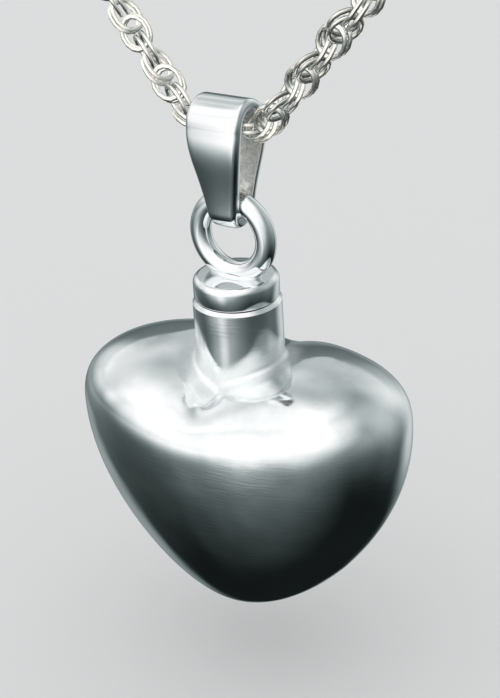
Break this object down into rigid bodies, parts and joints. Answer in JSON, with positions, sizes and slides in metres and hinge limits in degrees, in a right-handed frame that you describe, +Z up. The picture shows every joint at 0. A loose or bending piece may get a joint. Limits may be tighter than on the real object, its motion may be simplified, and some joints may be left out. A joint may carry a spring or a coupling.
{
  "type": "heart keepsake pendant necklace",
  "caption": "Puffed heart pendant with a hollow chamber, a screw cap carrying a ring, a tapered bail and a twisted chain that closes in a clasp.",
  "frame": {"origin": "middle of the clasp at the top of the loop, where the necklace hangs at the nape", "axes": "+Z up, so that the pendant hangs towards -Z; the loop lies in the XZ plane, apart from its lowest stretch, on which the pendant has turned by 12 degrees; the front of the heart faces -Y"},
  "size_m": [0.1366, 0.0132, 0.1964],
  "materials": {
    "polished_silver": "polished",
    "chain_silver": "polished, slightly warm"
  },
  "bodies": {
    "necklace": {"chain": "chain_silver", "clasp": "chain_silver"},
    "bail": {"bail": "polished_silver"},
    "cap": {"cap": "polished_silver"},
    "post": {"threaded_post": "polished_silver"},
    "vessel": {"vessel": "polished_silver"}
  },
  "joints": [
    {"name": "bail_swing", "type": "hinge", "parent": "necklace", "child": "bail", "pos_m": [0, 0, -0.163], "axis": [1, 0, 0], "range_deg": [-80, 80]},
    {"name": "ring_swing", "type": "hinge", "parent": "bail", "child": "cap", "pos_m": [0, 0, -0.16955], "axis": [0, 1, 0], "range_deg": [-75, 75]},
    {"name": "cap_turn", "type": "hinge", "parent": "cap", "child": "post", "pos_m": [0, 0, -0.1732], "axis": [0, 0, -1], "range_deg": [0, 2160]},
    {"name": "vessel_slide", "type": "slide", "parent": "post", "child": "vessel", "axis": [0, 0, -1], "range_m": [0, 0.003]}
  ],
  "couplings": [
    {"joint": "vessel_slide", "follows": "cap_turn", "m_per_rad": 0.00007957}
  ]
}
